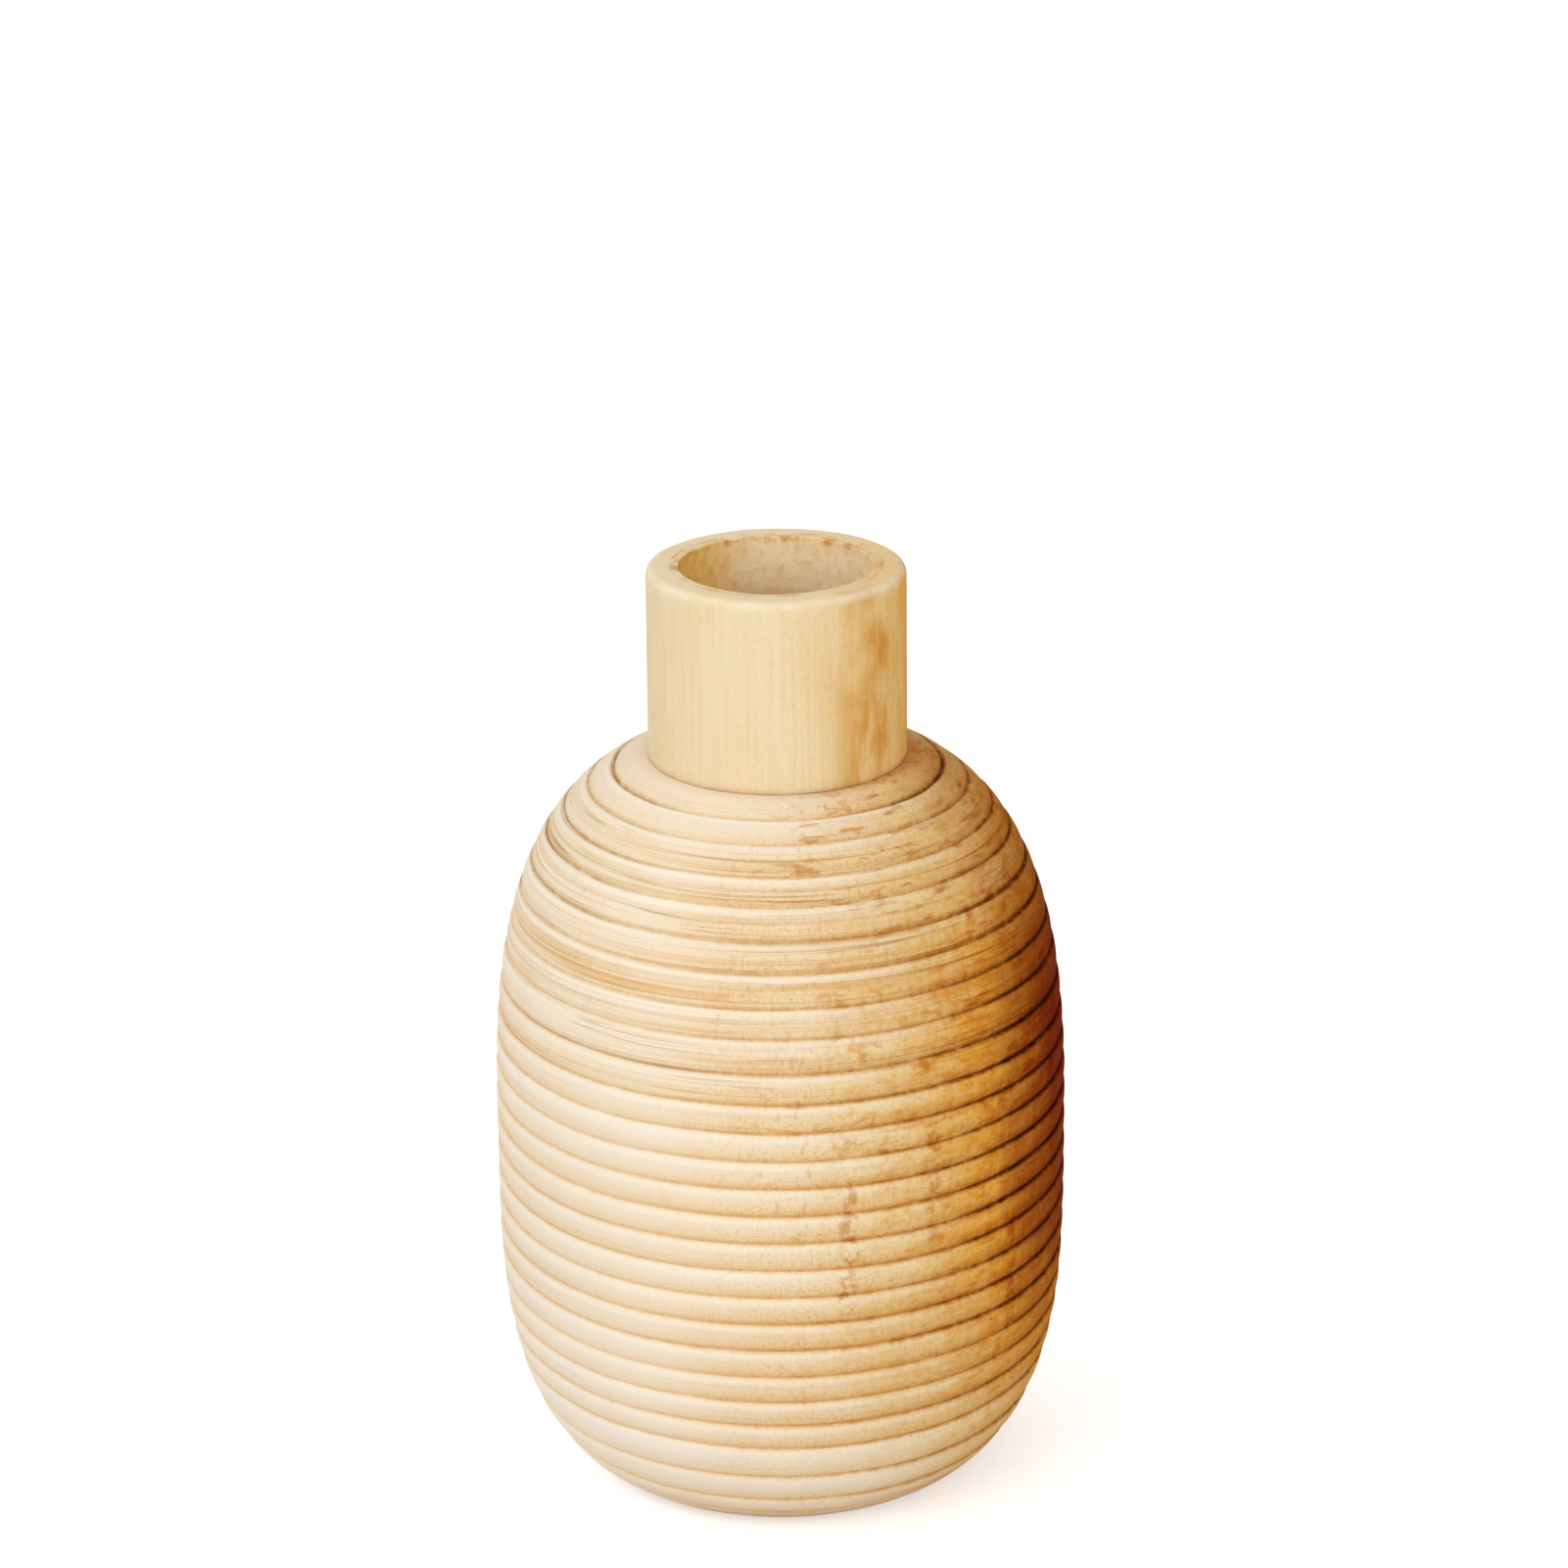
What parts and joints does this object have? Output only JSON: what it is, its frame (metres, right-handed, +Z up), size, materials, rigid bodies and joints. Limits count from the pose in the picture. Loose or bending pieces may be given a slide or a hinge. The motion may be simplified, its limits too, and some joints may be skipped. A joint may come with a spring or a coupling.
{
  "type": "carved wooden vase",
  "caption": "Barrel-shaped turned wooden vase with carved horizontal ribs, a plain cylindrical neck and a lift-out glass liner for water.",
  "frame": {"origin": "on the surface the vase stands on, under the middle of the foot", "axes": "+Z up along the turning axis; +X and +Y square to it, with the pictured side facing -Y"},
  "size_m": [0.16, 0.16, 0.2635],
  "materials": {
    "neck_wood": "pale turned wood, fine vertical grain, low satin",
    "body_wood": "pale to orange-brown turned wood, tool marks and darker grooves, low satin",
    "plug_wood": "turned end-grain wood, unpolished",
    "cork": "granulated cork, matte",
    "glass": "clear, smooth",
    "felt": "pressed felt, matte"
  },
  "bodies": {
    "vase": {"neck": "neck_wood", "upper_body": "body_wood", "lower_body": "body_wood", "base_plug": "plug_wood", "liner_cushion": "cork", "felt_pad_1": "felt", "felt_pad_2": "felt", "felt_pad_3": "felt", "felt_pad_4": "felt"},
    "liner": {"glass_liner": "glass"}
  },
  "joints": [
    {"name": "liner_lift", "type": "slide", "parent": "vase", "child": "liner", "axis": [0, 0, 1], "range_m": [0, 0.26]}
  ]
}
